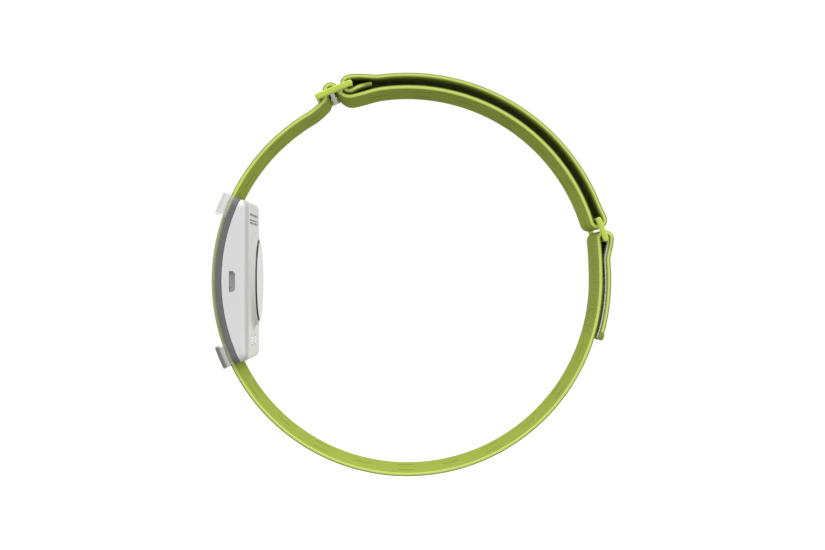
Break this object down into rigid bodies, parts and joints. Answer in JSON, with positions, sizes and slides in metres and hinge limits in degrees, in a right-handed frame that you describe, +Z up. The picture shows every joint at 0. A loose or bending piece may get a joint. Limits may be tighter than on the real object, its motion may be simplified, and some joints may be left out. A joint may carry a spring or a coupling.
{
  "type": "sports armband with optical pulse sensor",
  "caption": "Elastic webbing armband with a slide adjuster, a webbing ring and hook-and-loop tail, carrying a curved optical sensor pod under clear strap bridges.",
  "frame": {"origin": "centre of the strap's loop at mid width, where the arm's axis passes", "axes": "+Y along the loop's axis, away from the charging socket; +Z up with the adjuster at the top; -X towards the sensor pod"},
  "size_m": [0.1342, 0.046, 0.1347],
  "materials": {
    "webbing": "woven elastic webbing, yellow-green",
    "end_cap": "matt moulded, dark green",
    "hook_tape": "moulded hooks, off-white",
    "loop_pile": "brushed loops, dark green",
    "green_hardware": "satin enamel, yellow-green",
    "steel": "bright",
    "grey_plastic": "fine grained",
    "white_plastic": "satin",
    "gasket_rubber": "matt",
    "clear_plastic": "clear polycarbonate",
    "window": "polished translucent",
    "black_plastic": "matt",
    "led_resin": "clear-topped",
    "circuit_board": "solder mask",
    "battery_foil": "satin pouch foil",
    "contact_metal": "polished"
  },
  "bodies": {
    "strap": {"main_strap": "webbing", "loop_patch": "loop_pile"},
    "tail": {"strap_tail": "webbing", "tail_end_cap": "end_cap", "hook_tape": "hook_tape"},
    "slider": {"slider_frame": "green_hardware", "slider_center_bar": "steel"},
    "ring": {"webbing_ring": "green_hardware"},
    "pod": {"back_cradle": "grey_plastic", "sensor_housing": "white_plastic", "housing_seal": "gasket_rubber", "strap_bridge_upper": "clear_plastic", "strap_bridge_lower": "clear_plastic", "optical_window": "window", "window_gasket": "gasket_rubber", "light_baffle": "black_plastic", "photodiode": "black_plastic", "led_upper": "led_resin", "led_lower": "led_resin", "sensor_board": "circuit_board", "battery_cell": "battery_foil", "radio_chip": "black_plastic", "charging_chip": "black_plastic", "socket_shell": "steel", "socket_tongue": "black_plastic", "contact_pad_front": "contact_metal", "contact_pad_back": "contact_metal"}
  },
  "joints": [
    {"name": "pod_turn", "type": "hinge", "parent": "strap", "child": "pod", "pos_m": [0, 0, 0], "axis": [0, 1, 0], "range_deg": [-110, 24]},
    {"name": "tail_peel", "type": "hinge", "parent": "strap", "child": "tail", "pos_m": [0.06815, 0, 0.01393], "axis": [0, -1, 0], "range_deg": [0, 120]},
    {"name": "slider_rock", "type": "hinge", "parent": "strap", "child": "slider", "pos_m": [-0.02542, 0, 0.06313], "axis": [0, 1, 0], "range_deg": [-2.5, 2.5]},
    {"name": "ring_rock", "type": "hinge", "parent": "strap", "child": "ring", "pos_m": [0.06483, 0, 0.01706], "axis": [0, 1, 0], "range_deg": [-3, 3]}
  ]
}
